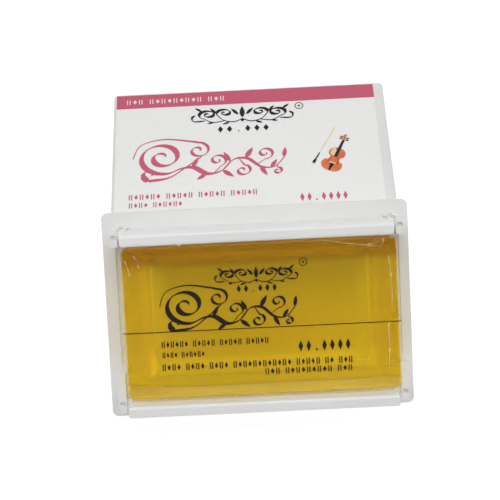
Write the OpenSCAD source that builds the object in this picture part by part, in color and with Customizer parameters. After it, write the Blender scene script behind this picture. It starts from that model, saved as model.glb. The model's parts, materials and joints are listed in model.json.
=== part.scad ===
// Boxed rosin cake for bowed strings, shown open: the cover lies mouth down and the tray leans on
// its front edge, with the film-wrapped cake held between two side flaps.
// Millimetres, +Z up, +X to the right, +Y to the back. The origin is at the middle of the base.

/* [Tray] */
// Width of the tray plate, left to right
tray_w = 72; // [71:0.5:76]
// Height of the tray plate along its slope
tray_h = 48.6; // [47:0.2:52]
// Thickness of the tray plate
plate_t = 2; // [1.6:0.1:2.6]
// Corner radius of the tray plate
plate_corner_r = 1.4; // [0.8:0.2:3]
// Depth of the shallow floor that the cake lies on
floor_recess = 0.6; // [0.2:0.1:1]
// Margin of plate left beside the floor
side_margin = 2.6; // [2:0.1:3]
// How far the floor, walls, ears and flaps lie to the right of the plate's middle
inside_shift = 0.3; // [0:0.1:0.4]
// Angle at which the tray leans back, from the table
lean_angle = 38; // [32:1:46]

/* [Flaps] */
// Length of a side flap
flap_len = 60.4; // [56:0.2:61]
// Thickness of a side flap and of the low wall under it
flap_t = 2.6; // [2.4:0.1:3]
// Distance of a flap's outer face from the plate's long edge
flap_inset = 3.8; // [3:0.1:4.4]
// Height of a flap's front edge above the back of the plate
flap_front = 21.6; // [20:0.2:23]
// Height of the flap hinge axis above the back of the plate
hinge_w = 10.5; // [9.5:0.1:11.5]
// Diameter of a flap's hinge pin
pin_d = 2.4; // [2:0.1:2.4]

/* [Cake] */
// Width of the cake at its front face
cake_w = 62.4; // [52:0.2:62.4]
// How far the cake lies to the right of the tray's middle
cake_shift = 0.6; // [0:0.1:0.8]
// Height of the cake's front face above the back of the plate
cake_front = 17.2; // [14:0.2:18]
// How much each end of the cake slopes in towards the back
cake_end_slope = 6.4; // [2:0.2:8]
// How much each long side of the cake slopes in towards the back
cake_side_slope = 3.6; // [1:0.2:6]
// Radius of the cake's edges
cake_edge_r = 1.2; // [0.8:0.2:2]

/* [Cover] */
// Width of the cover at its rim
cover_w = 71.2; // [70:0.2:74]
// Depth of the cover at its rim
cover_d = 48.6; // [46:0.2:52]
// Height of the cover
cover_h = 25; // [24:0.5:28]
// Wall thickness of the cover
cover_wall = 1.5; // [1.2:0.1:2]
// How much each side of the cover draws in from the rim to the top
cover_draft = 1; // [0.5:0.1:1.5]

/* [Label] */
// Margin of cover left bare on the label's right
label_right = 2.6; // [1:0.1:5]
// Margin of cover left bare on the other three sides
label_edge = 0.8; // [0.8:0.1:3]
// Thickness of the paper label
label_t = 0.15; // [0.1:0.05:0.3]

/* [Hidden] */
$fn = 64;
hull_fn = 24;           // facets round a corner inside a hull
part_gap = 0.2;         // clearance between pieces that move past each other
rest_gap = 0.1;         // clearance between a piece and what it rests on
pin_clearance = 0.08;   // radial, in the ears' holes
film_t = 0.1;           // film, thicker than the real one so that it is a solid
film_gap = 0.05;        // between the film and the cake
film_seam = 0.5;        // width of the film's open seam
ear_t = 1.8;            // ear walls that hold the hinge pins
ear_wrap = 0.8;         // ear material round a pin
dimple_d = 1.3;
dimple_depth = 0.45;
flap_end_r = 0.6;       // corner radius of a flap's ends, seen from the front
lower_ear_len = 6.8;    // from the hinge axis to the ear's inner end
upper_ear_len = 2.1;
pin_bevel = 0.4;
flap_edge_r = 0.7;
cover_corner_r = 2.2;
cover_edge_r = 0.7;
through = 1;            // how far a cut runs past a face

hinge_v = flap_inset + flap_t / 2;
floor_w = plate_t - floor_recess;
wall_top = hinge_w - flap_t / 2 - part_gap;
floor_half_w = tray_w / 2 - side_margin;
ear_u = floor_half_w - ear_t / 2;
cake_back = floor_w + rest_gap + film_t + film_gap;
cake_h = tray_h - 2 * (flap_inset + flap_t + part_gap + film_t + film_gap);

// The tray's lower back edge stands on the table, and its back rests on the cover's top front edge.
lean_y = (cos(lean_angle) * (cover_h - cover_edge_r) + cover_edge_r + rest_gap) / sin(lean_angle);
cover_top_front = lean_y - cover_edge_r;
front_y = (flap_inset + flap_edge_r) * cos(lean_angle)
        - (flap_front - flap_edge_r) * sin(lean_angle) - flap_edge_r;
back_y = cover_top_front - cover_draft + cover_d;
tray_y = -(front_y + back_y) / 2;
cover_y = tray_y + back_y - cover_d / 2;

PLASTIC = [0.9, 0.9, 0.89];
PAPER = [0.93, 0.93, 0.92];
ROSIN = [0.76, 0.58, 0.1];
FILM = [0.95, 0.93, 0.85, 0.35];

// A flat rectangle with round corners, centred on the origin
module rounded_rect(w, h, r) {
    square([w - 2 * r, h], center = true);
    square([w, h - 2 * r], center = true);
    for (x = [-1, 1], y = [-1, 1])
        translate([x * (w / 2 - r), y * (h / 2 - r)]) circle(r);
}

// Puts the tray's own axes (across, up the slope, out of the plate) in place, leaning
module leaning() {
    translate([0, tray_y, 0]) rotate([lean_angle, 0, 0]) children();
}

// Mirrors what is drawn at the lower long edge to the upper long edge
module at_upper_edge() {
    translate([0, tray_h, 0]) mirror([0, 1, 0]) children();
}

// Moves what lies inside the tray to its place across the plate
module inside() {
    translate([inside_shift, 0, 0]) children();
}

// The left end's child, and its mirror image at the right end
module both_ends() {
    children();
    mirror([1, 0, 0]) children();
}

// A block on the four corners of a rectangle, its edges rounded, tapering towards the back
module cake_block(grow) {
    r = cake_edge_r + grow;
    half_w = cake_w / 2 + grow - r;
    half_h = cake_h / 2 + grow - r;
    hull() for (x = [-1, 1], y = [-1, 1]) {
        translate([x * half_w, y * half_h, cake_front + grow - r]) sphere(r, $fn = hull_fn);
        translate([x * (half_w - cake_end_slope), y * (half_h - cake_side_slope), cake_back - grow + r])
            sphere(r, $fn = hull_fn);
    }
}

// The cover's outer form, or its hollow when drawn smaller: posts on four corners, leaning inwards
module cover_form(w, d, h, corner_r, edge_r) {
    hull() for (x = [-1, 1], y = [-1, 1]) {
        translate([x * (w / 2 - corner_r), y * (d / 2 - corner_r), 0])
            cylinder(r = corner_r, h = 0.01, $fn = hull_fn);
        translate([x * (w / 2 - corner_r - cover_draft), y * (d / 2 - corner_r - cover_draft), h - edge_r])
            rotate_extrude($fn = hull_fn) {
                square([corner_r - edge_r, edge_r]);
                translate([corner_r - edge_r, 0]) intersection() {
                    circle(edge_r, $fn = hull_fn);
                    square(edge_r);
                }
            }
    }
}

module cover_shell() {
    color(PLASTIC) translate([0, cover_y, 0]) difference() {
        cover_form(cover_w, cover_d, cover_h, cover_corner_r, cover_edge_r);
        translate([0, 0, -0.01])
            cover_form(cover_w - 2 * cover_wall, cover_d - 2 * cover_wall, cover_h - cover_wall,
                       cover_corner_r - cover_wall / 2, cover_edge_r / 2);
    }
}

module paper_label() {
    top_w = cover_w - 2 * cover_draft;
    top_d = cover_d - 2 * cover_draft;
    color(PAPER)
        translate([-top_w / 2 + label_edge, cover_y - top_d / 2 + label_edge, cover_h])
            cube([top_w - label_edge - label_right, top_d - 2 * label_edge, label_t]);
}

// The flap's outline seen along the hinge: a round barrel at the pin, edges softened at the front
module flap_profile() {
    translate([0, hinge_w]) circle(d = flap_t);
    translate([-flap_t / 2, hinge_w]) square([flap_t, flap_front - hinge_w - flap_edge_r]);
    for (side = [-1, 1])
        translate([side * (flap_t / 2 - flap_edge_r), flap_front - flap_edge_r]) circle(flap_edge_r);
    translate([-(flap_t / 2 - flap_edge_r), hinge_w])
        square([flap_t - 2 * flap_edge_r, flap_front - hinge_w]);
}

// A bar outline with softened ends, as seen from the front
module bar_plan() {
    rounded_rect(flap_len, flap_t, flap_end_r);
}

// One hinge pin, from inside the flap's end to just short of the ear's outer face
module hinge_pin() {
    root_u = flap_len / 2 - flap_t / 2;
    pin_len = floor_half_w - part_gap - root_u;
    translate([root_u, 0, hinge_w]) rotate([0, 90, 0]) {
        cylinder(d = pin_d, h = pin_len - pin_bevel);
        translate([0, 0, pin_len - pin_bevel])
            cylinder(d1 = pin_d, d2 = pin_d - 2 * pin_bevel, h = pin_bevel);
    }
}

// A side flap standing at the lower long edge
module side_flap() {
    translate([0, hinge_v, 0]) {
        intersection() {
            linear_extrude(flap_front + through) bar_plan();
            rotate([90, 0, 90]) linear_extrude(flap_len + through, center = true) flap_profile();
        }
        both_ends() hinge_pin();
    }
}

module lower_flap() {
    color(PLASTIC) leaning() inside() side_flap();
}

module upper_flap() {
    color(PLASTIC) leaning() inside() at_upper_edge() side_flap();
}

// The wall that carries one hinge pin in a round hole, with a dimple above it. It springs outwards
// when a flap is snapped in.
module ear(len) {
    bore_r = pin_d / 2 + pin_clearance;
    head_r = bore_r + ear_wrap;
    ear_top = hinge_w + head_r;
    translate([ear_u, hinge_v, 0]) difference() {
        translate([-ear_t / 2, -head_r, 0]) cube([ear_t, head_r + len, ear_top]);
        translate([0, 0, hinge_w]) rotate([0, 90, 0])
            cylinder(r = bore_r, h = ear_t + through, center = true);
        translate([0, 0, ear_top - dimple_depth]) cylinder(d = dimple_d, h = through);
    }
}

// The low wall under a flap and the ears at its ends, at the lower long edge
module flap_seat(ear_len) {
    translate([0, hinge_v, floor_w / 2]) linear_extrude(wall_top - floor_w / 2) bar_plan();
    both_ends() intersection() {
        ear(ear_len);
        translate([0, 0, floor_w / 2]) cube([tray_w / 2, tray_h / 2, flap_front]);
    }
}

module tray_base() {
    color(PLASTIC) leaning() {
        difference() {
            translate([0, tray_h / 2, 0]) linear_extrude(plate_t)
                rounded_rect(tray_w, tray_h, plate_corner_r);
            inside() translate([-floor_half_w, flap_inset, floor_w])
                cube([2 * floor_half_w, tray_h - 2 * flap_inset, plate_t]);
        }
        inside() {
            flap_seat(lower_ear_len);
            at_upper_edge() flap_seat(upper_ear_len);
        }
    }
}

module rosin_cake() {
    color(ROSIN) leaning() translate([cake_shift, tray_h / 2, 0]) cake_block(0);
}

// The film is open along its seam at the back
module film_wrap() {
    seam_len = cake_w / 2;
    color(FILM) leaning() translate([cake_shift, tray_h / 2, 0]) difference() {
        cake_block(film_gap + film_t);
        cake_block(film_gap);
        translate([-seam_len / 2, -film_seam / 2, 0]) cube([seam_len, film_seam, cake_front / 2]);
    }
}

cover_shell();
paper_label();
tray_base();
upper_flap();
lower_flap();
rosin_cake();
film_wrap();
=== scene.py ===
"""The looks of a boxed rosin cake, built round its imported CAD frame.

The tray leans on its cover. The tray's pieces are drawn in the tray's own millimetres: u across,
v up the plate's slope and w out of the plate. The cover's pieces are drawn in millimetres from the
middle of the cover's base: x across, y to the back and z up.
"""
import itertools
import json
import math

import bmesh
import bpy
from mathutils import Matrix, Vector


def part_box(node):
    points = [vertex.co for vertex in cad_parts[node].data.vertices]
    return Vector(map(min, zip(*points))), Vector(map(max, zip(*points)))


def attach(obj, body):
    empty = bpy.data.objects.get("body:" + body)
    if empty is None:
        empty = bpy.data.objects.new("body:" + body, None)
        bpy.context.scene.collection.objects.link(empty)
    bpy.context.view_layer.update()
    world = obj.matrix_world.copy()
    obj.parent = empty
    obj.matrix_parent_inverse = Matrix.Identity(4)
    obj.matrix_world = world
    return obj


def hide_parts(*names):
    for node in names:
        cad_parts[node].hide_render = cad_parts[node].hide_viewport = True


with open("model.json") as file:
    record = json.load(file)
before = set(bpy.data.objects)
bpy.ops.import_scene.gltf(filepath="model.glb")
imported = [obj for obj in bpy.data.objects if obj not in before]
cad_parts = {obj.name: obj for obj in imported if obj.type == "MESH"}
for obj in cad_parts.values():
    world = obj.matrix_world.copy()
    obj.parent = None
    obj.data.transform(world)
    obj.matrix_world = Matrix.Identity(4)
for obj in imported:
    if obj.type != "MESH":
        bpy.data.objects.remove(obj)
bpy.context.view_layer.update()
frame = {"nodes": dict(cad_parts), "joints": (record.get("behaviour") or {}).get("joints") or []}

MM = 0.001
HINGE_V = 5.1           # hinge axis above the plate's long edge, along the slope
HINGE_W = 10.5          # hinge axis above the plate's back
PIN_REACH = 3.0         # how far a hinge pin sticks out of its flap's end
X_AXIS = Vector((1, 0, 0))
Y_AXIS = Vector((0, 1, 0))
Z_AXIS = Vector((0, 0, 1))


# ---------------------------------------------------------------- places

def joint(name):
    """One joint of the frame, by name."""
    return next(j for j in frame["joints"] if j["name"] == name)


def placing(origin, across, up, out):
    """The matrix from local millimetres to the frame's metres."""
    turn = Matrix((across, up, out)).transposed().to_4x4()
    return Matrix.Translation(origin) @ turn @ Matrix.Scale(MM, 4)


def tray_placing():
    """The tray's own axes, with the origin in the middle of the plate's lower back edge."""
    out = Vector(joint("tray_lift")["axis"]).normalized()
    up = Vector((0, out.z, -out.y))
    hinge = Vector(joint("lower_flap_hinge")["pos_m"])
    return placing(hinge - (HINGE_V * up + HINGE_W * out) * MM, X_AXIS, up, out)


def cover_placing():
    """Axes along the frame's, with the origin in the middle of the cover's base."""
    low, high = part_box("cover_shell")
    middle = (low + high) / 2
    return placing(Vector((middle.x, middle.y, low.z)), X_AXIS, Y_AXIS, Z_AXIS)


def centre_and_half(low, high):
    """The middle of a box, and half its size."""
    return (low + high) / 2, (high - low) / 2


TRAY = tray_placing()
TRAY_UP = TRAY.to_3x3().col[1].normalized()     # up the tray's slope
COVER = cover_placing()


def local_box(node, place):
    """Lowest and highest corner of a CAD node in local millimetres."""
    back = place.inverted()
    points = [back @ v.co for v in frame["nodes"][node].data.vertices]
    low = Vector(min(p[a] for p in points) for a in range(3))
    high = Vector(max(p[a] for p in points) for a in range(3))
    return low, high


# ---------------------------------------------------------------- node helpers

MIX_FIRST, MIX_SECOND, MIX_RESULT = 6, 7, 2     # the colour sockets of a Mix node


def new_material(name):
    """A material with its Principled shader, and its node tree."""
    material = bpy.data.materials.new(name)
    material.use_nodes = True
    return material, material.node_tree, material.node_tree.nodes["Principled BSDF"]


def feed(tree, node, inputs):
    """Sets a node's inputs, each given as a value or as a socket to link."""
    for key, value in inputs.items():
        if isinstance(value, bpy.types.NodeSocket):
            tree.links.new(value, node.inputs[key])
        else:
            node.inputs[key].default_value = value


def add_node(tree, kind, inputs=None, **settings):
    """A new node with its settings and inputs."""
    node = tree.nodes.new(kind)
    for key, value in settings.items():
        setattr(node, key, value)
    feed(tree, node, inputs or {})
    return node


def noise_of(tree, scale, detail, stretch=(1, 1, 1)):
    """Noise fixed to the object's own coordinates. Scale is in waves per metre."""
    place = add_node(tree, "ShaderNodeTexCoord").outputs["Object"]
    if stretch != (1, 1, 1):
        place = add_node(tree, "ShaderNodeMapping", {"Vector": place, "Scale": stretch}).outputs[0]
    inputs = {"Vector": place, "Scale": scale, "Detail": detail}
    return add_node(tree, "ShaderNodeTexNoise", inputs).outputs["Fac"]


def spread(tree, noise, low, high):
    """Noise with the middle of its range mapped to low and high."""
    inputs = {"Value": noise, "From Min": 0.3, "From Max": 0.7, "To Min": low, "To Max": high}
    return add_node(tree, "ShaderNodeMapRange", inputs).outputs[0]


def smooth_ramp(tree, source, start, end, first, last):
    """A value that goes smoothly from first to last while the source goes from start to end."""
    inputs = {"Value": source, "From Min": start, "From Max": end, "To Min": first, "To Max": last}
    return add_node(tree, "ShaderNodeMapRange", inputs, interpolation_type="SMOOTHSTEP").outputs[0]


def blend_colours(tree, amount, first, second):
    """A colour between two, by an amount."""
    inputs = {"Factor": amount, MIX_FIRST: (*first, 1), MIX_SECOND: (*second, 1)}
    return add_node(tree, "ShaderNodeMix", inputs, data_type="RGBA").outputs[MIX_RESULT]


def mix_shaders(tree, share, first, second):
    """A shader between two, by the second one's share."""
    return add_node(tree, "ShaderNodeMixShader", {0: share, 1: first, 2: second}).outputs[0]


def bump_of(tree, height, depth, under=None):
    """A bump of a height between 0 and 1, this many millimetres deep, over another bump if given."""
    inputs = {"Height": height, "Distance": depth * MM}
    if under is not None:
        inputs["Normal"] = under
    return add_node(tree, "ShaderNodeBump", inputs).outputs[0]


# ---------------------------------------------------------------- materials

def white_plastic(name, light, dark):
    """Injection-moulded polystyrene: satin, with a faint orange peel and cloudiness."""
    material, tree, shader = new_material(name)
    cloud = spread(tree, noise_of(tree, scale=60, detail=2), 0, 1)
    peel = bump_of(tree, noise_of(tree, scale=700, detail=2), depth=0.02)
    feed(tree, shader, {
        "Base Color": blend_colours(tree, cloud, dark, light),
        "Roughness": spread(tree, noise_of(tree, scale=500, detail=4), 0.3, 0.42),
        "Normal": bump_of(tree, noise_of(tree, scale=9000, detail=2), depth=0.004, under=peel),
        "IOR": 1.5,
    })
    return material


def paper(name, light, dark):
    """Coated label paper: faint fibres under a light gloss."""
    material, tree, shader = new_material(name)
    fibres = noise_of(tree, scale=2500, detail=5, stretch=(1, 0.35, 1))
    feed(tree, shader, {
        "Base Color": blend_colours(tree, spread(tree, fibres, 0, 1), dark, light),
        "Roughness": spread(tree, noise_of(tree, scale=400, detail=3), 0.36, 0.5),
        "Normal": bump_of(tree, fibres, depth=0.008),
    })
    return material


def ink(name, colour, other, scale=3500, shine=0.5):
    """Printing ink: a colour that mottles faintly towards another."""
    material, tree, shader = new_material(name)
    mottle = spread(tree, noise_of(tree, scale, detail=4), 0, 1)
    feed(tree, shader, {
        "Base Color": blend_colours(tree, mottle, other, colour),
        "Roughness": spread(tree, noise_of(tree, scale=900, detail=2), 0.42, 0.55),
        "Specular IOR Level": shine,
    })
    return material


def height_up_tray(tree):
    """How high a point of the object lies along the tray's slope, in metres."""
    place = add_node(tree, "ShaderNodeTexCoord").outputs["Object"]
    inputs = {0: place, 1: TRAY_UP}
    return add_node(tree, "ShaderNodeVectorMath", inputs, operation="DOT_PRODUCT").outputs["Value"]


def rosin(name):
    """Cast rosin: clear amber with a little haze, with painted shade along its upper edge, where its
    colour darkens for the upper flap's shadow, and hazier below.

    Light that falls through it on the way to the tray is stained as well.
    """
    material, tree, shader = new_material(name)
    foot, edge = ((TRAY @ corner).dot(TRAY_UP) for corner in local_box("rosin_cake", TRAY))
    height = height_up_tray(tree)
    # deep is the amber darkened by painted shade: the upper flap's shadow, blended in along the cake's
    # upper edge.
    bright, deep = (0.96, 0.785, 0.04), (0.56, 0.34, 0.012)
    painted_shade_share = smooth_ramp(tree, height, edge - 6.5 * MM, edge - 3 * MM, first=0, last=1)
    clearness = smooth_ramp(tree, height, foot + 1 * MM, foot + 14 * MM, first=0.66, last=0.82)
    feed(tree, shader, {
        "Base Color": blend_colours(tree, painted_shade_share, bright, deep),
        "Transmission Weight": clearness,
        "Roughness": spread(tree, noise_of(tree, scale=180, detail=3), 0.2, 0.25),
        "Normal": bump_of(tree, noise_of(tree, scale=70, detail=2), depth=0.1),
        "IOR": 1.52,
    })
    body = add_node(tree, "ShaderNodeVolumeAbsorption", {"Color": (0.95, 0.77, 0.05, 1), "Density": 24})
    stained = add_node(tree, "ShaderNodeBsdfTransparent", {"Color": (0.96, 0.94, 0.9, 1)})
    in_shadow = add_node(tree, "ShaderNodeLightPath").outputs["Is Shadow Ray"]
    surface = mix_shaders(tree, in_shadow, shader.outputs[0], stained.outputs[0])
    feed(tree, tree.nodes["Material Output"], {"Surface": surface, "Volume": body.outputs[0]})
    return material


def clear_film(name):
    """Thin clear film: see-through, with a skin of gloss that grows towards grazing angles."""
    material, tree, shader = new_material(name)
    tree.nodes.remove(shader)
    ripple = bump_of(tree, noise_of(tree, scale=220, detail=3), depth=0.08)
    clear = add_node(tree, "ShaderNodeBsdfTransparent", {"Color": (0.98, 0.975, 0.96, 1)})
    gloss = add_node(tree, "ShaderNodeBsdfGlossy", {"Normal": ripple, "Roughness": 0.08})
    facing = add_node(tree, "ShaderNodeLayerWeight", {"Blend": 0.5, "Normal": ripple})
    steepness = 5
    grazing = add_node(tree, "ShaderNodeMath", {0: facing.outputs["Facing"], 1: steepness},
                       operation="POWER")
    share_face_on = 0.05
    share = add_node(tree, "ShaderNodeMapRange", {"Value": grazing.outputs[0], "To Min": share_face_on})
    skin = mix_shaders(tree, share.outputs[0], clear.outputs[0], gloss.outputs[0])
    feed(tree, tree.nodes["Material Output"], {"Surface": skin})
    return material


def folded_film(name, thin, thick):
    """Film folded on itself: milky between a thin and a thick share."""
    material, tree, shader = new_material(name)
    feed(tree, shader, {"Base Color": (0.95, 0.9, 0.78, 1), "Roughness": 0.25})
    clear = add_node(tree, "ShaderNodeBsdfTransparent")
    milk = spread(tree, noise_of(tree, scale=900, detail=3), thin, thick)
    mixed = mix_shaders(tree, milk, clear.outputs[0], shader.outputs[0])
    feed(tree, tree.nodes["Material Output"], {"Surface": mixed})
    return material


# ---------------------------------------------------------------- mesh helpers

EDGE_ROUND = 0.25       # radius of the moulded pieces' edges
CORNER_STEPS = 10       # between the points round a ring's corner


def make_piece(name, bm, place, body, material, replaced=(), sharp_from=35):
    """Turns a mesh in local millimetres into a piece that rides on a body.

    Edges bent by more than sharp_from degrees stay sharp.
    """
    bmesh.ops.recalc_face_normals(bm, faces=bm.faces)
    bm.transform(place)
    mesh = bpy.data.meshes.new(name)
    bm.to_mesh(mesh)
    bm.free()
    mesh.shade_smooth()
    mesh.set_sharp_from_angle(angle=math.radians(sharp_from))
    mesh.materials.append(material)
    obj = bpy.data.objects.new(name, mesh)
    bpy.context.scene.collection.objects.link(obj)
    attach(obj, body)
    if replaced:
        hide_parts(*replaced)
    return obj


def weigh_normals(obj):
    """Keeps large flat faces flat beside their round edges."""
    weighted = obj.modifiers.new("flat faces", "WEIGHTED_NORMAL")
    weighted.keep_sharp = True


def softened(name, node, body, material):
    """A copy of a CAD node with its sharp edges rounded."""
    bm = bmesh.new()
    bm.from_mesh(frame["nodes"][node].data)
    same_place = 0.002 * MM
    bmesh.ops.remove_doubles(bm, verts=bm.verts, dist=same_place)
    same_plane = math.radians(1)
    bmesh.ops.dissolve_limit(bm, angle_limit=same_plane, verts=bm.verts, edges=bm.edges)
    obj = make_piece(name, bm, Matrix.Identity(4), body, material, (node,))
    bevel = obj.modifiers.new("round edges", "BEVEL")
    bevel.width = EDGE_ROUND * MM
    bevel.segments = 3
    bevel.limit_method = "ANGLE"
    bevel.angle_limit = math.radians(40)
    bevel.use_clamp_overlap = True
    weigh_normals(obj)


def arc(centre, radius, start, end, steps):
    """Points (x, y) along an arc, with its angles in degrees."""
    for step in range(steps + 1):
        angle = math.radians(start + (end - start) * step / steps)
        yield centre[0] + radius * math.cos(angle), centre[1] + radius * math.sin(angle)


def ring(half_x, half_y, radius, z, between=(0, 0)):
    """Points round a rectangle with round corners, at a height. between adds some on its sides."""
    corners = []
    for corner in range(4):
        side_x = 1 if corner in (0, 3) else -1
        side_y = 1 if corner in (0, 1) else -1
        centre = (side_x * (half_x - radius), side_y * (half_y - radius))
        start = 90 * corner
        corners.append([Vector((x, y, z)) for x, y in
                        arc(centre, radius, start, start + 90, CORNER_STEPS)])
    whole = []
    for corner, points in enumerate(corners):
        count = between[corner % 2]
        start, end = points[-1], corners[(corner + 1) % 4][0]
        whole += points
        whole += [start.lerp(end, (i + 1) / (count + 1)) for i in range(count)]
    return whole


def shifted(points, by):
    """Points moved along x and y."""
    return [p + Vector((by[0], by[1], 0)) for p in points]


def loft(bm, rings):
    """Joins rings of the same number of points with quads, and closes both ends."""
    rows = [[bm.verts.new(p) for p in points] for points in rings]
    count = len(rows[0])
    for first, second in zip(rows, rows[1:]):
        for i in range(count):
            j = (i + 1) % count
            bm.faces.new((first[i], first[j], second[j], second[i]))
    bm.faces.new(rows[0])
    bm.faces.new(rows[-1])


# ---------------------------------------------------------------- print

INK_LIFT = 0.02         # gap between a surface and the ink on it
INK_DEPTH = 0.02        # thickness of the ink
STACK = 0.003           # rise from one overlapping stroke to the next


def curve(points, steps=6):
    """A smooth path through points, by the Catmull-Rom formula."""
    path = []
    last = len(points) - 1
    for i in range(last):
        a, b, c, d = (Vector(points[min(max(j, 0), last)]) for j in range(i - 1, i + 3))
        for step in range(steps):
            t = step / steps
            path.append(b + (c - a) * (t / 2) + (2 * a - 5 * b + 4 * c - d) * (t * t / 2)
                        + (3 * b - a - 3 * c + d) * (t ** 3 / 2))
    return path + [Vector(points[-1])]


def scroll(centre, radius, start, turns):
    """Points of a spiral from its outside in. Negative turns go clockwise."""
    core = 0.14             # inner radius as a share of the outer one
    points_per_turn = 14
    count = max(8, round(abs(turns) * points_per_turn))
    for i in range(count + 1):
        share = i / count
        angle = math.radians(start + 360 * turns * share)
        reach = radius * (1 - share * (1 - core))
        yield centre[0] + reach * math.cos(angle), centre[1] + reach * math.sin(angle)


def heading(direction):
    """The unit vectors along a direction and to its left."""
    ahead = direction.normalized()
    return ahead, Vector((-ahead.y, ahead.x))


def towards(angle):
    """The unit vectors at an angle in degrees and to its left."""
    return heading(Vector((math.cos(math.radians(angle)), math.sin(math.radians(angle)))))


def stroke(bm, path, thin, thick, z, nib=35):
    """A pen stroke along a path: thick across the nib's angle, thin along it, fine at its ends."""
    full_after = 1 / 6      # share of the path over which each end widens
    contrast = 1.5          # how quickly the nib's width falls off as it turns
    least_turn = 1e-6       # stands in for none, where the path is straight
    sections = []
    last = len(path) - 1
    for i, point in enumerate(path):
        before, after = path[max(i - 1, 0)], path[min(i + 1, last)]
        ahead, aside = heading(after - before)
        swell = abs(math.sin(math.atan2(ahead.y, ahead.x) - math.radians(nib))) ** contrast
        taper = min(1, i / last / full_after, (1 - i / last) / full_after)
        half = (thin + (thick - thin) * swell * taper) / 2
        if 0 < i < last:
            turn = abs((point - before).angle_signed(after - point, 0))
            bend_radius = (after - before).length / 2 / max(turn, least_turn)
            half = min(half, bend_radius / 2)
        left, right = point + aside * half, point - aside * half
        sections.append([Vector((side.x, side.y, z + up)) for side, up in
                         ((left, 0), (right, 0), (right, INK_DEPTH), (left, INK_DEPTH))])
    loft(bm, sections)


def plate(bm, outline, z):
    """A thin closed plate with this outline."""
    loft(bm, [[Vector((x, y, z)) for x, y in outline],
              [Vector((x, y, z + INK_DEPTH)) for x, y in outline]])


def leaf(bm, foot, length, angle, z, width=0.34):
    """A teardrop leaf from its foot. Width is a share of its length."""
    ahead, aside = towards(angle)
    fullness = 0.8          # under 1 puts the widest part nearer the foot
    count = 9
    sides = []
    for i in range(count + 1):
        share = i / count
        half = length * width / 2 * math.sin(math.pi * share ** fullness)
        sides.append((Vector(foot) + ahead * length * share, aside * half))
    left = [middle + half for middle, half in sides]
    right = [middle - half for middle, half in reversed(sides[1:-1])]
    plate(bm, left + right, z)


def bar(bm, left, low, width, height, z):
    """An upright rectangle."""
    plate(bm, ((left, low), (left + width, low), (left + width, low + height),
               (left, low + height)), z)


def tapered(bm, start, end, start_half, end_half, z):
    """A straight bar whose width changes evenly."""
    start, end = Vector(start), Vector(end)
    aside = heading(end - start)[1]
    plate(bm, (start + aside * start_half, start - aside * start_half,
               end - aside * end_half, end + aside * end_half), z)


def lozenge(bm, middle, half_x, half_y, z):
    """A diamond."""
    x, y = middle
    plate(bm, ((x - half_x, y), (x, y - half_y), (x + half_x, y), (x, y + half_y)), z)


def fine_border(bm, left, right, middle, height, z, groups):
    """A line of fine border marks, in groups, where small print would be.

    The marks of a group are pairs of bars and diamonds by turns.
    """
    gap = 0.8               # between groups, as a share of the pitch
    pitch = (right - left) / (sum(groups) + gap * (len(groups) - 1))
    bar_width = height * 0.17
    x = left
    for group in groups:
        for i in range(group):
            if i % 2:
                lozenge(bm, (x + pitch / 2, middle), pitch * 0.34, height * 0.46, z)
            else:
                for share in (0.16, 0.6):
                    bar(bm, x + pitch * share, middle - height / 2, bar_width, height, z)
            x += pitch
        x += pitch * gap


def fleurons(bm, left, right, middle, height, z, count=7):
    """A row of larger diamonds, with a low dot for the third."""
    pitch = (right - left) / count
    dot_half = height * 0.12
    for i in range(count):
        x = left + pitch * (i + 0.5)
        if i == 2:
            lozenge(bm, (x, middle - height * 0.35), dot_half, dot_half, z)
        else:
            lozenge(bm, (x, middle), pitch * 0.3, height / 2, z)


def vine(bm, corner, scale, z):
    """A running vine 38 by 13 units: a large scroll, then a waving stem with tendrils and leaves.

    Each stroke lies a little above the last, so that no two tops share a plane.
    """
    heights = itertools.count(z, STACK)
    flatten = 0.84          # its height is drawn this much lower

    def moved(point):
        return Vector(corner) + Vector((point[0], point[1] * flatten)) * scale

    def draw(points, thin, thick):
        stroke(bm, curve([moved(p) for p in points]), thin * scale, thick * scale, next(heights))

    stem = [(38.2, 6.6), (35.6, 3.2), (32.2, 3.4), (28.9, 6.6), (25.4, 6.4), (22.4, 2.6),
            (18.8, 1.7), (15.4, 4.2), (12.2, 3.9)]
    draw([*stem, *scroll((7.6, 8.3), 6.1, -75, -1.75)], 0.26, 1.5)
    crown = [(0.2, 8.2), (2.2, 13.2), (8.0, 15.1), (14.4, 14.0)]
    draw([*crown, *scroll((16.6, 10.4), 3.1, 95, -1.35)], 0.22, 0.8)
    foot = [(17.4, 8.0), (14.2, 5.0), (9.6, 1.0)]
    draw([*foot, *scroll((4.6, 2.3), 2.3, -80, -0.95)], 0.3, 1.7)
    tendrils = (
        ((20.4, 1.7), (21.4, 6.5), 2.4, -70, 1.3), ((26.6, 7.2), (27.6, 2.3), 2.2, 80, -1.3),
        ((31.2, 4.2), (33.3, 8.3), 2.3, -90, 1.3), ((36.4, 4.0), (36.2, 1.6), 1.3, 90, -1.2))
    for root, centre, radius, start, turns in tendrils:
        draw([root, *scroll(centre, radius, start, turns)], 0.2, 0.85)
    leaves = (
        ((22.6, 2.7), 3.6, -38), ((28.4, 6.8), 3.8, 58), ((15.0, 4.3), 3.4, 60),
        ((32.0, 3.5), 3.4, -60), ((34.6, 2.9), 3.0, 55), ((24.6, 5.8), 3.4, 118),
        ((18.6, 1.7), 3.0, 215), ((38.0, 6.4), 3.2, 80))
    for root, length, angle in leaves:
        leaf(bm, moved(root), length * scale, angle, next(heights))


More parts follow.
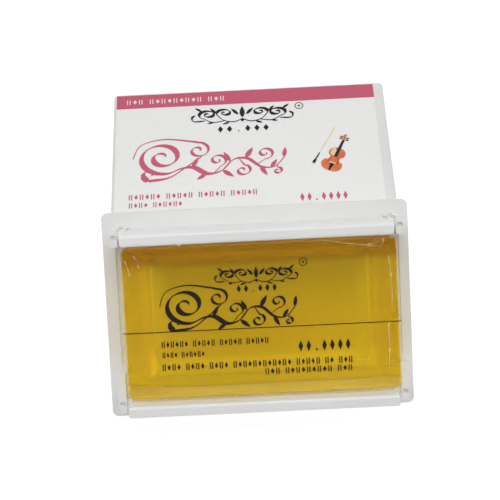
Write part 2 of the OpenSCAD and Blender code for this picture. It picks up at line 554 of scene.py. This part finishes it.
def crest(bm, middle, scale, z):
    """A crest 26 by 5 units: two scrolls back to back round an upright leaf.

    Each stroke lies a little above the last, so that no two tops share a plane.
    """
    heights = itertools.count(z, STACK)
    flatten = 0.62          # its height is drawn this much lower

    def moved(point, side=1):
        return Vector(middle) + Vector((side * point[0], point[1] * flatten)) * scale

    def draw(side, points, thin, thick):
        path = curve([moved(p, side) for p in points])
        nib = 90 - side * 50    # its angle is mirrored too
        stroke(bm, path, thin * scale, thick * scale, next(heights), nib)

    leaves = (((1.0, 0.0), 2.9, 48), ((6.8, 1.0), 2.5, 50), ((10.6, 2.4), 2.2, 36),
              ((3.4, -3.9), 2.0, -18), ((7.4, -3.6), 1.9, -12))
    for side in (-1, 1):
        inner = [(0.4, -2.6), (2.4, -3.8), (5.0, -2.6), (6.6, 0.4)]
        draw(side, [*inner, *scroll((4.6, 1.2), 2.1, 0, 1.3)], 0.2, 0.9)
        outer = [(4.6, -3.0), (7.8, -3.6), (10.2, -1.4)]
        draw(side, [*outer, *scroll((9.0, 0.6), 2.5, -55, 1.5)], 0.2, 0.95)
        draw(side, [(9.8, -2.6), (12.6, -2.8), (13.2, -0.8), (12.3, 0.5)], 0.2, 0.6)
        for root, length, angle in leaves:
            turn = angle if side > 0 else 180 - angle
            leaf(bm, moved(root, side), length * scale, turn, next(heights), 0.3)
    leaf(bm, moved((0, -1.6)), 3.7 * scale, 90, next(heights), 0.36)
    lozenge(bm, moved((0, -2.9)), 0.6 * scale, 0.6 * scale, next(heights))


def small_ring(bm, middle, radius, line, z):
    """A ring with a dot in it."""
    path = [Vector(point) for point in arc(middle, radius, 0, 360, 28)]
    stroke(bm, path, line, line, z)
    dot_half = radius * 0.35
    lozenge(bm, middle, dot_half, dot_half, z)


# Half the outline of a small fiddle: distance from its foot, half width.
FIDDLE_OUTLINE = ((0.0, 0.2), (0.05, 1.0), (0.6, 2.1), (1.8, 2.65), (2.9, 2.35), (3.15, 1.85),
                  (3.45, 1.4), (3.95, 1.25), (4.5, 1.4), (4.8, 1.85), (5.1, 2.0), (5.9, 2.1),
                  (6.7, 1.75), (7.2, 0.95), (7.35, 0.35))


def fiddle(wood, dark, pale, foot, angle, z):
    """A small picture of a fiddle, standing on its foot at an angle."""
    ahead, aside = towards(angle)
    first, second, third = (z + i * (INK_DEPTH + STACK) for i in range(3))      # layers of ink

    def at(along, off):
        return Vector(foot) + ahead * along + aside * off

    half = curve(FIDDLE_OUTLINE, 4)
    plate(wood, [at(*p) for p in half] + [at(p[0], -p[1]) for p in reversed(half)], first)
    tapered(wood, at(9.7, 0), at(11.2, 0), 0.34, 0.28, first)
    curl = [at(11.45 + y, x) for x, y in scroll((0, 0), 0.45, -90, 1.2)]
    stroke(wood, curve([at(11.1, 0.05), *curl]), 0.3, 0.36, second)
    leaf(pale, at(4.5, 0.75), 2.9, angle + 10, second, 0.5)
    tapered(dark, at(0.1, 0), at(2.3, 0), 0.2, 0.52, second)
    tapered(dark, at(4.5, 0), at(9.9, 0), 0.42, 0.3, third)
    tapered(pale, at(2.55, 0.85), at(2.55, -0.85), 0.16, 0.16, third)
    sound_hole = [(2.3, 1.45), (2.9, 1.1), (3.6, 1.0), (4.2, 0.75)]
    for side in (-1, 1):
        stroke(dark, curve([at(x, side * y) for x, y in sound_hole]), 0.1, 0.16, second)
        for peg in (10.2, 10.8):
            tapered(dark, at(peg, side * 0.35), at(peg + 0.15, side * 1.1), 0.1, 0.24, second)


def fiddle_bow(dark, pale, tip, heel, z):
    """A small picture of a bow, from its tip down to its heel."""
    tip, heel = Vector(tip), Vector(heel)
    grip, frog, button = (tip.lerp(heel, share) for share in (0.68, 0.86, 0.95))
    tapered(pale, tip, grip, 0.13, 0.13, z)
    tapered(dark, grip, frog, 0.16, 0.2, z)
    tapered(dark, frog, button, 0.3, 0.42, z + STACK)
    tapered(pale, button, heel, 0.3, 0.12, z)


# ---------------------------------------------------------------- tray details

WALL_TOP = 9.0          # of the low walls under the flaps
WALL_HALF = 1.25        # half a low wall's thickness
WALL_END = 1.7          # length of its ends, which reach 0.3 mm into the ears
NUB_U = -16.8           # place of the gate's nub along the flap
NUB_RADIUS = 0.5


def make_wall_ends(material):
    """The low walls' ends, which close the gaps between the walls and the ears."""
    flap_low, flap_high = local_box("lower_flap", TRAY)
    plate_low, plate_high = local_box("tray_base", TRAY)
    half = WALL_END / 2
    chamfer = 0.15
    corner = 0.05
    levels = ((WALL_HALF, plate_low.z + 1), (WALL_HALF, WALL_TOP - chamfer),
              (WALL_HALF - chamfer, WALL_TOP))
    bm = bmesh.new()
    for u in (flap_low.x + PIN_REACH - half, flap_high.x - PIN_REACH + half):
        for v in (HINGE_V, plate_high.y - HINGE_V):
            loft(bm, [shifted(ring(half, half_v, corner, w), (u, v)) for half_v, w in levels])
    make_piece("wall_ends", bm, TRAY, "tray", material)


def make_gate_nub(material):
    """The trimmed gate left on the upper flap's inner face: a dome that points down the tray."""
    low, high = local_box("upper_flap", TRAY)
    sunk = 0.2
    from_front = 0.8
    centre = Vector((NUB_U, low.y + sunk, high.z - from_front))
    bm = bmesh.new()
    loft(bm, [[centre + Vector((u, -out, w)) for u, w in arc((0, 0), reach, 0, 330, 11)]
              for reach, out in arc((0, 0), NUB_RADIUS, 0, 80, 5)])
    make_piece("gate_nub", bm, TRAY, "upper_flap", material)


# ---------------------------------------------------------------- cover

COVER_WALL = 1.5
COVER_DRAFT = 1.0       # how far each side draws in from the rim to the top
COVER_CORNER = 2.2      # radius of its corners, seen from above
COVER_EDGE = 0.7        # radius of the top's edge
BAND_DEPTH = 4.3        # of the coloured band along the label's back edge


def cover_profile(height):
    """(inset from the rim's outline, height) from inside the top, over the rim, to the outside."""
    inner_top = height - COVER_WALL
    fillet = 0.6            # radius inside the top
    lip = 0.25              # radius of the rim's two edges

    def outer(z):
        return COVER_DRAFT * z / height

    def inner(z):
        return outer(z) + COVER_WALL

    yield from arc((inner(inner_top) + fillet, inner_top - fillet), fillet, 90, 180, 5)
    yield from arc((inner(0) - lip, lip), lip, 0, -90, 4)
    yield from arc((lip, lip), lip, -90, -180, 4)
    yield from arc((outer(height) + COVER_EDGE, height - COVER_EDGE), COVER_EDGE, 180, 90, 6)


def make_cover(material):
    """The thin-walled cover, lying mouth down."""
    high = local_box("cover_shell", COVER)[1]
    least_corner = 0.5
    bm = bmesh.new()
    loft(bm, [ring(high.x - inset, high.y - inset, max(least_corner, COVER_CORNER - inset), z)
              for inset, z in cover_profile(high.z)])
    cover = make_piece("cover", bm, COVER, "cover", material, ("cover_shell",))
    weigh_normals(cover)


def make_label(material):
    """The paper label on the cover's top."""
    low, high = local_box("paper_label", COVER)
    middle, half = centre_and_half(low, high)
    corner = 0.4
    edge = 0.04
    glue = 0.01
    levels = ((0, low.z + glue), (0, high.z - edge), (edge, high.z))
    bm = bmesh.new()
    loft(bm, [shifted(ring(half.x - inset, half.y - inset, corner, z), middle)
              for inset, z in levels])
    make_piece("label", bm, COVER, "cover", material, ("paper_label",))


def make_label_print(inks):
    """The label's band, ornaments, small picture and lines of fine marks.

    Its marks are placed from the middle across and from the cover's top back edge down.
    """
    low, high = local_box("paper_label", COVER)
    z = high.z + INK_LIFT
    over_band = z + INK_DEPTH + INK_LIFT
    back = local_box("cover_shell", COVER)[1].y - COVER_DRAFT
    meshes = {name: bmesh.new() for name in ("rose", "white", "black", "wood", "cream")}
    rose, white, black, wood, cream = meshes.values()
    bar(rose, low.x, high.y - BAND_DEPTH, high.x - low.x, BAND_DEPTH, z)
    vine(rose, corner=(-29.6, back - 28.0), scale=0.99, z=z)
    fine_border(rose, -30.5, 1.2, middle=back - 32.7, height=1.6, z=z, groups=(6, 5, 5, 5))
    fine_border(rose, -30.4, -17.1, middle=back - 35.1, height=1.5, z=z, groups=(4, 6))
    fleurons(rose, 11.0, 23.2, middle=back - 34.9, height=2.5, z=z)
    fine_border(white, -31.4, -6.0, middle=back - 3.1, height=1.5, z=over_band, groups=(3, 9, 3))
    crest(black, middle=(-1.8, back - 8.6), scale=0.97, z=z)
    small_ring(black, middle=(12.7, back - 6.7), radius=1.0, line=0.2, z=z)
    fleurons(black, -8.6, 5.2, middle=back - 13.1, height=2.0, z=z, count=6)
    fiddle(wood, black, cream, foot=(18.8, back - 27.4), angle=64.3, z=z)
    fiddle_bow(black, cream, tip=(21.4, back - 14.1), heel=(14.9, back - 25.4), z=z)
    for name, bm in meshes.items():
        make_piece("label_print_" + name, bm, COVER, "cover", inks[name])


# ---------------------------------------------------------------- cake and film

END_SLOPE = 6.4         # how far the cake's ends slope in towards its back
SIDE_SLOPE = 3.6        # and its long sides
BACK_ROUND = 4.5        # radius of its edges at the back
FRONT_ROUND = 1.0       # and at the front
CAKE_CORNER = 1.5       # radius of its corners, seen from the front
LEAST_CORNER = 0.4
FILM_SIDES = (90, 56)   # extra points along the film's sides, so that its creases are smooth
FILM_LIFT = 0.01        # of the doubled seam and the folds off the film

# Creases of the film: (u, v) of both ends from its middle, then width and height.
CREASES = (
    (29.5, 17.2, 20.5, 14.6, 0.5, 0.24), (29.0, 16.4, 23.0, 12.4, 0.45, 0.2),
    (28.6, 17.6, 16.8, 17.2, 0.35, 0.16), (29.4, 15.0, 26.6, 10.0, 0.5, 0.2),
    (27.6, 17.4, 24.8, 14.0, 0.4, 0.22), (29.3, 12.0, 28.8, 2.0, 0.6, 0.14),
    (-29.4, 17.0, -25.0, 14.4, 0.45, 0.18), (-29.2, 16.0, -27.6, 11.4, 0.45, 0.18),
    (-28.6, 17.4, -22.0, 16.8, 0.35, 0.12), (-29.4, -15.4, -22.4, -14.2, 0.45, 0.2),
    (-29.0, -16.4, -19.0, -15.6, 0.4, 0.18), (-28.6, -13.6, -26.0, -15.4, 0.35, 0.16),
    (29.2, -16.2, 21.0, -14.6, 0.45, 0.2), (29.3, -13.4, 25.4, -15.6, 0.4, 0.18),
    (24.0, -16.4, 12.0, -15.8, 0.35, 0.12), (29.3, -4.0, 28.9, -12.0, 0.5, 0.12),
)


def crease_height(u, v):
    """How far the film stands off the cake. Each crease is high at its first end and fades out."""
    height = 0
    point = Vector((u, v))
    for u0, v0, u1, v1, width, top in CREASES:
        start, run = Vector((u0, v0)), Vector((u1 - u0, v1 - v0))
        share = min(max((point - start).dot(run) / run.length_squared, 0), 1)
        away = (point - start - run * share).length
        height += top * math.exp(-(away / width) ** 2) * (1 - share) ** 0.5
    return height


def cake_rings(low, high, between=(0, 0)):
    """Outlines of the cake from its back to its front."""
    middle, half = centre_and_half(low, high)
    back = arc((BACK_ROUND, low.z + BACK_ROUND), BACK_ROUND, 270, 180, 10)
    front = arc((FRONT_ROUND, high.z - FRONT_ROUND), FRONT_ROUND, 180, 90, 10)
    for inset, z in [*back, *front]:
        depth = (high.z - z) / (high.z - low.z)
        half_x = half.x - inset - END_SLOPE * depth
        half_y = half.y - inset - SIDE_SLOPE * depth
        corner = max(LEAST_CORNER, CAKE_CORNER - inset / 2)
        yield shifted(ring(half_x, half_y, corner, z, between), middle)


def make_cake(material):
    """The cast cake."""
    bm = bmesh.new()
    loft(bm, list(cake_rings(*local_box("rosin_cake", TRAY))))
    cake = make_piece("cake", bm, TRAY, "cake", material, ("rosin_cake",),
                      sharp_from=60)
    weigh_normals(cake)


def make_film(material):
    """The clear film round the cake, creased at its corners."""
    low, high = local_box("film_wrap", TRAY)
    middle, half = centre_and_half(low, high)
    rings = list(cake_rings(low, high, FILM_SIDES))
    creased = 10.0          # how far in from the edge the creases go
    step = 0.4
    for i in range(1, round(creased / step) + 1):
        inset = FRONT_ROUND + i * step
        corner = max(LEAST_CORNER, CAKE_CORNER - i * step)
        points = ring(half.x - inset, half.y - inset, corner, high.z, FILM_SIDES)
        rings.append([p + Vector((middle.x, middle.y, crease_height(p.x, p.y))) for p in points])
    bm = bmesh.new()
    loft(bm, rings)
    make_piece("film", bm, TRAY, "cake", material, ("film_wrap",), sharp_from=60)


# Folds of the film that show as whitish lines, partly real folds and partly painted glints and
# highlight streaks where the film would reflect light: greatest width, then (u, v) points from its
# middle.
FOLDS_AND_GLINTS = (
    (0.3, ((12.8, 17.2), (16.8, 16.6), (21.0, 15.9), (25.0, 15.7), (27.4, 16.4))),
    (0.4, ((22.0, 15.9), (24.2, 15.4), (26.6, 15.2))),
    (0.6, ((27.9, 17.0), (27.6, 15.8), (27.0, 14.7))),
    (0.2, ((28.9, 13.0), (29.3, 8.0), (29.5, 2.0))),
    (0.18, ((28.3, -2.0), (28.4, -7.0), (28.2, -12.6))),
    (0.22, ((-28.0, 15.6), (-27.2, 14.0), (-26.9, 12.4))),
    (0.2, ((-30.0, 14.6), (-29.4, 12.8), (-29.0, 11.0))),
)

# Painted shade of wrinkles in its lower left corner: dark strokes.
PAINTED_WRINKLE_SHADE = (
    ((-30.0, -14.2), (-28.4, -14.6), (-26.9, -13.9), (-25.2, -14.7), (-23.3, -14.1), (-20.6, -15.1)),
    ((-29.2, -15.2), (-27.4, -14.8), (-25.6, -15.4), (-22.8, -15.0)),
    ((-29.7, -13.6), (-29.2, -14.6), (-28.7, -13.9)),
)

# Upper edge of its doubled seam along the bottom.
SEAM_TOP = ((-31.0, -13.6), (-26.0, -14.0), (-18.0, -14.5), (-6.0, -14.5), (8.0, -14.4), (20.0, -14.5),
            (26.0, -14.2), (31.0, -14.6))


def make_film_folds(milky, doubled, dark):
    """Fine folds where the film is gathered, partly painted glints and highlight streaks, painted shade
    of its wrinkles and of its seam's upper edge, and its doubled seam along the bottom.
    """
    low, high = local_box("film_wrap", TRAY)
    middle = (low + high) / 2
    heights = itertools.count(high.z + FILM_LIFT + INK_DEPTH, STACK)
    folds, seam, wrinkles = bmesh.new(), bmesh.new(), bmesh.new()

    def draw(bm, points, thin, thick):
        path = curve([Vector((u + middle.x, v + middle.y)) for u, v in points])
        lift = max(crease_height(p.x - middle.x, p.y - middle.y) for p in path)
        stroke(bm, path, thin, thick, next(heights) + lift)

    fine, bold = 0.05, 0.1
    # Whitish strokes: partly real folds, partly painted glints and highlight streaks.
    for width, points in FOLDS_AND_GLINTS:
        draw(folds, points, fine, width)
    for points in PAINTED_WRINKLE_SHADE:
        draw(wrinkles, points, fine, bold)
    # A painted shade line along the seam's upper edge, in the wrinkles' dark ink.
    draw(wrinkles, SEAM_TOP, bold, bold)
    upper = [p + middle.xy for p in curve([Vector(p) for p in SEAM_TOP])]
    foot = low.y + FRONT_ROUND
    plate(seam, [*upper, (upper[-1].x, foot), (upper[0].x, foot)], high.z + FILM_LIFT)
    make_piece("film_folds_and_glints", folds, TRAY, "cake", milky)
    make_piece("film_seam", seam, TRAY, "cake", doubled)
    make_piece("film_painted_wrinkle_shade", wrinkles, TRAY, "cake", dark)


def film_rule(bm, low, high, v, line):
    """A line across the film's front that follows it round both edges."""
    middle = (low.x + high.x) / 2
    reach = (high.x - low.x) / 2 - FRONT_ROUND
    corners = ((INK_LIFT, -1), (INK_LIFT, 1), (INK_LIFT + INK_DEPTH, 1), (INK_LIFT + INK_DEPTH, -1))
    turns = [math.radians(angle) for angle in range(0, 76, 15)]
    sections = []
    for side, turn in [(-1, t) for t in reversed(turns)] + [(1, t) for t in turns]:
        out_x, out_z = side * math.sin(turn), math.cos(turn)
        section = []
        for height, along in corners:
            off = FRONT_ROUND + height
            section.append(Vector((middle + side * reach + out_x * off, v + along * line / 2,
                                   high.z - FRONT_ROUND + out_z * off)))
        sections.append(section)
    loft(bm, sections)


def make_film_print(black):
    """The black ornaments and lines of fine marks on the film, placed from its middle."""
    low, high = local_box("film_wrap", TRAY)
    centre = (low.y + high.y) / 2
    z = high.z + INK_LIFT
    bm = bmesh.new()
    vine(bm, corner=(-22.3, centre - 1.8), scale=0.8, z=z)
    crest(bm, middle=(-0.2, centre + 10.0), scale=0.7, z=z)
    small_ring(bm, middle=(10.4, centre + 12.4), radius=0.85, line=0.18, z=z)
    fleurons(bm, -5.0, 4.6, middle=centre + 7.0, height=1.7, z=z, count=6)
    film_rule(bm, low, high, v=centre - 2.0, line=0.2)
    fine_border(bm, -22.3, 2.0, middle=centre - 4.9, height=1.4, z=z, groups=(6, 5, 5, 5))
    fine_border(bm, -22.2, -12.5, middle=centre - 7.3, height=1.3, z=z, groups=(4, 6))
    fine_border(bm, -22.4, 20.7, middle=centre - 10.1, height=1.5, z=z, groups=(4, 4, 4, 12, 5, 2, 3))
    fine_border(bm, 0.7, 20.6, middle=centre - 12.0, height=1.4, z=z, groups=(3, 9, 3))
    fleurons(bm, 8.2, 20.6, middle=centre - 6.6, height=2.6, z=z)
    make_piece("film_print", bm, TRAY, "cake", black)


# ---------------------------------------------------------------- stage

CAMERA_PLACE = (0.36, -121.47, 264.59)      # from the middle of the tray's foot, in millimetres
CAMERA_TURN = (32.1, 1.77, -2.16)           # degrees
CAMERA_LENS = 86.4
FLOOR_HALF = 3                              # metres
FLOOR_GAP = 0.05                            # keeps the floor just below the object

# Name, place in metres, size and power of each light.
LIGHTS = (
    ("top", (0, 0.1, 0.85), 0.76, 5.6),
    ("left", (-0.8, -0.1, 0.4), 0.6, 1.6),
    ("right", (0.8, -0.1, 0.4), 0.6, 2.0),
    ("front", (0, -0.9, 0.22), 0.3, 0.5),
    ("back", (0, 0.9, 0.5), 0.6, 1.0),
)


def make_camera():
    """The camera, looking down at the leaning tray."""
    data = bpy.data.cameras.new("camera")
    data.lens = CAMERA_LENS
    data.sensor_width = 36
    data.clip_start = 0.01
    camera = bpy.data.objects.new("camera", data)
    bpy.context.scene.collection.objects.link(camera)
    camera.location = TRAY.translation + Vector(CAMERA_PLACE) * MM
    camera.rotation_euler = [math.radians(a) for a in CAMERA_TURN]
    bpy.context.scene.camera = camera


def make_floor():
    """A plain pale floor that stays clean white in the studio light."""
    bm = bmesh.new()
    bmesh.ops.create_grid(bm, x_segments=1, y_segments=1, size=FLOOR_HALF)
    mesh = bpy.data.meshes.new("floor")
    bm.to_mesh(mesh)
    bm.free()
    material, tree, shader = new_material("floor_white")
    feed(tree, shader, {"Base Color": (0.4, 0.4, 0.4, 1), "Roughness": 0.9,
                        "Emission Color": (1, 1, 1, 1), "Emission Strength": 0.76})
    mesh.materials.append(material)
    floor = bpy.data.objects.new("floor", mesh)
    floor.location.z = -FLOOR_GAP * MM
    bpy.context.scene.collection.objects.link(floor)


def make_light(name, place, size, power):
    """A soft square light that faces the object."""
    data = bpy.data.lights.new(name, "AREA")
    data.size = size
    data.energy = power
    light = bpy.data.objects.new(name, data)
    light.location = place
    light.rotation_euler = (-Vector(place)).to_track_quat("-Z", "Y").to_euler()
    bpy.context.scene.collection.objects.link(light)


def make_studio():
    """Soft light from above, low fill from the sides, and walls that are pale near the floor."""
    world = bpy.data.worlds.new("studio")
    world.use_nodes = True
    tree = world.node_tree
    direction = add_node(tree, "ShaderNodeTexCoord").outputs["Generated"]
    upward = add_node(tree, "ShaderNodeSeparateXYZ", {0: direction}).outputs["Z"]
    strength = smooth_ramp(tree, upward, start=0.04, end=0.2, first=0.8, last=0.08)
    feed(tree, tree.nodes["Background"], {"Color": (1, 1, 1, 1), "Strength": strength})
    scene = bpy.context.scene
    scene.world = world
    for light in LIGHTS:
        make_light(*light)
    scene.view_settings.view_transform = "Standard"
    scene.cycles.max_bounces = 20
    scene.cycles.transmission_bounces = 20
    scene.cycles.glossy_bounces = 12
    scene.cycles.transparent_max_bounces = 24


# ---------------------------------------------------------------- the whole

make_camera()
make_floor()
make_studio()

plastic = white_plastic("moulded_white", light=(0.815, 0.815, 0.808), dark=(0.775, 0.775, 0.768))
softened("tray", "tray_base", "tray", plastic)
softened("flap_upper", "upper_flap", "upper_flap", plastic)
softened("flap_lower", "lower_flap", "lower_flap", plastic)
make_cover(white_plastic("cover_white", light=(0.73, 0.73, 0.72), dark=(0.7, 0.7, 0.69)))
make_label(paper("label_stock", light=(0.82, 0.82, 0.81), dark=(0.78, 0.78, 0.77)))
black_ink = ink("black_ink", (0.012, 0.011, 0.009), (0.02, 0.018, 0.015), shine=0.2)
make_label_print({
    "rose": ink("rose_ink", (0.56, 0.085, 0.15), (0.5, 0.07, 0.13)),
    "white": ink("white_ink", (0.8, 0.72, 0.73), (0.74, 0.64, 0.66)),
    "black": black_ink,
    "wood": ink("orange_ink", (0.72, 0.2, 0.05), (0.6, 0.11, 0.04), scale=260),
    "cream": ink("cream_ink", (0.8, 0.62, 0.36), (0.76, 0.55, 0.28), scale=600),
})
make_wall_ends(plastic)
make_gate_nub(plastic)
make_cake(rosin("amber_rosin"))
make_film(clear_film("wrapping_film"))
make_film_print(black_ink)
make_film_folds(
    # The whitish folds include painted glints and highlight streaks where the film would reflect light.
    milky=folded_film("folded_film", thin=0.05, thick=0.4),
    doubled=folded_film("doubled_film", thin=0.01, thick=0.06),
    # Dark amber ink for the painted shade of the wrinkles and of the seam's upper edge.
    dark=ink("wrinkle_shade", (0.34, 0.2, 0.02), (0.4, 0.25, 0.03)),
)
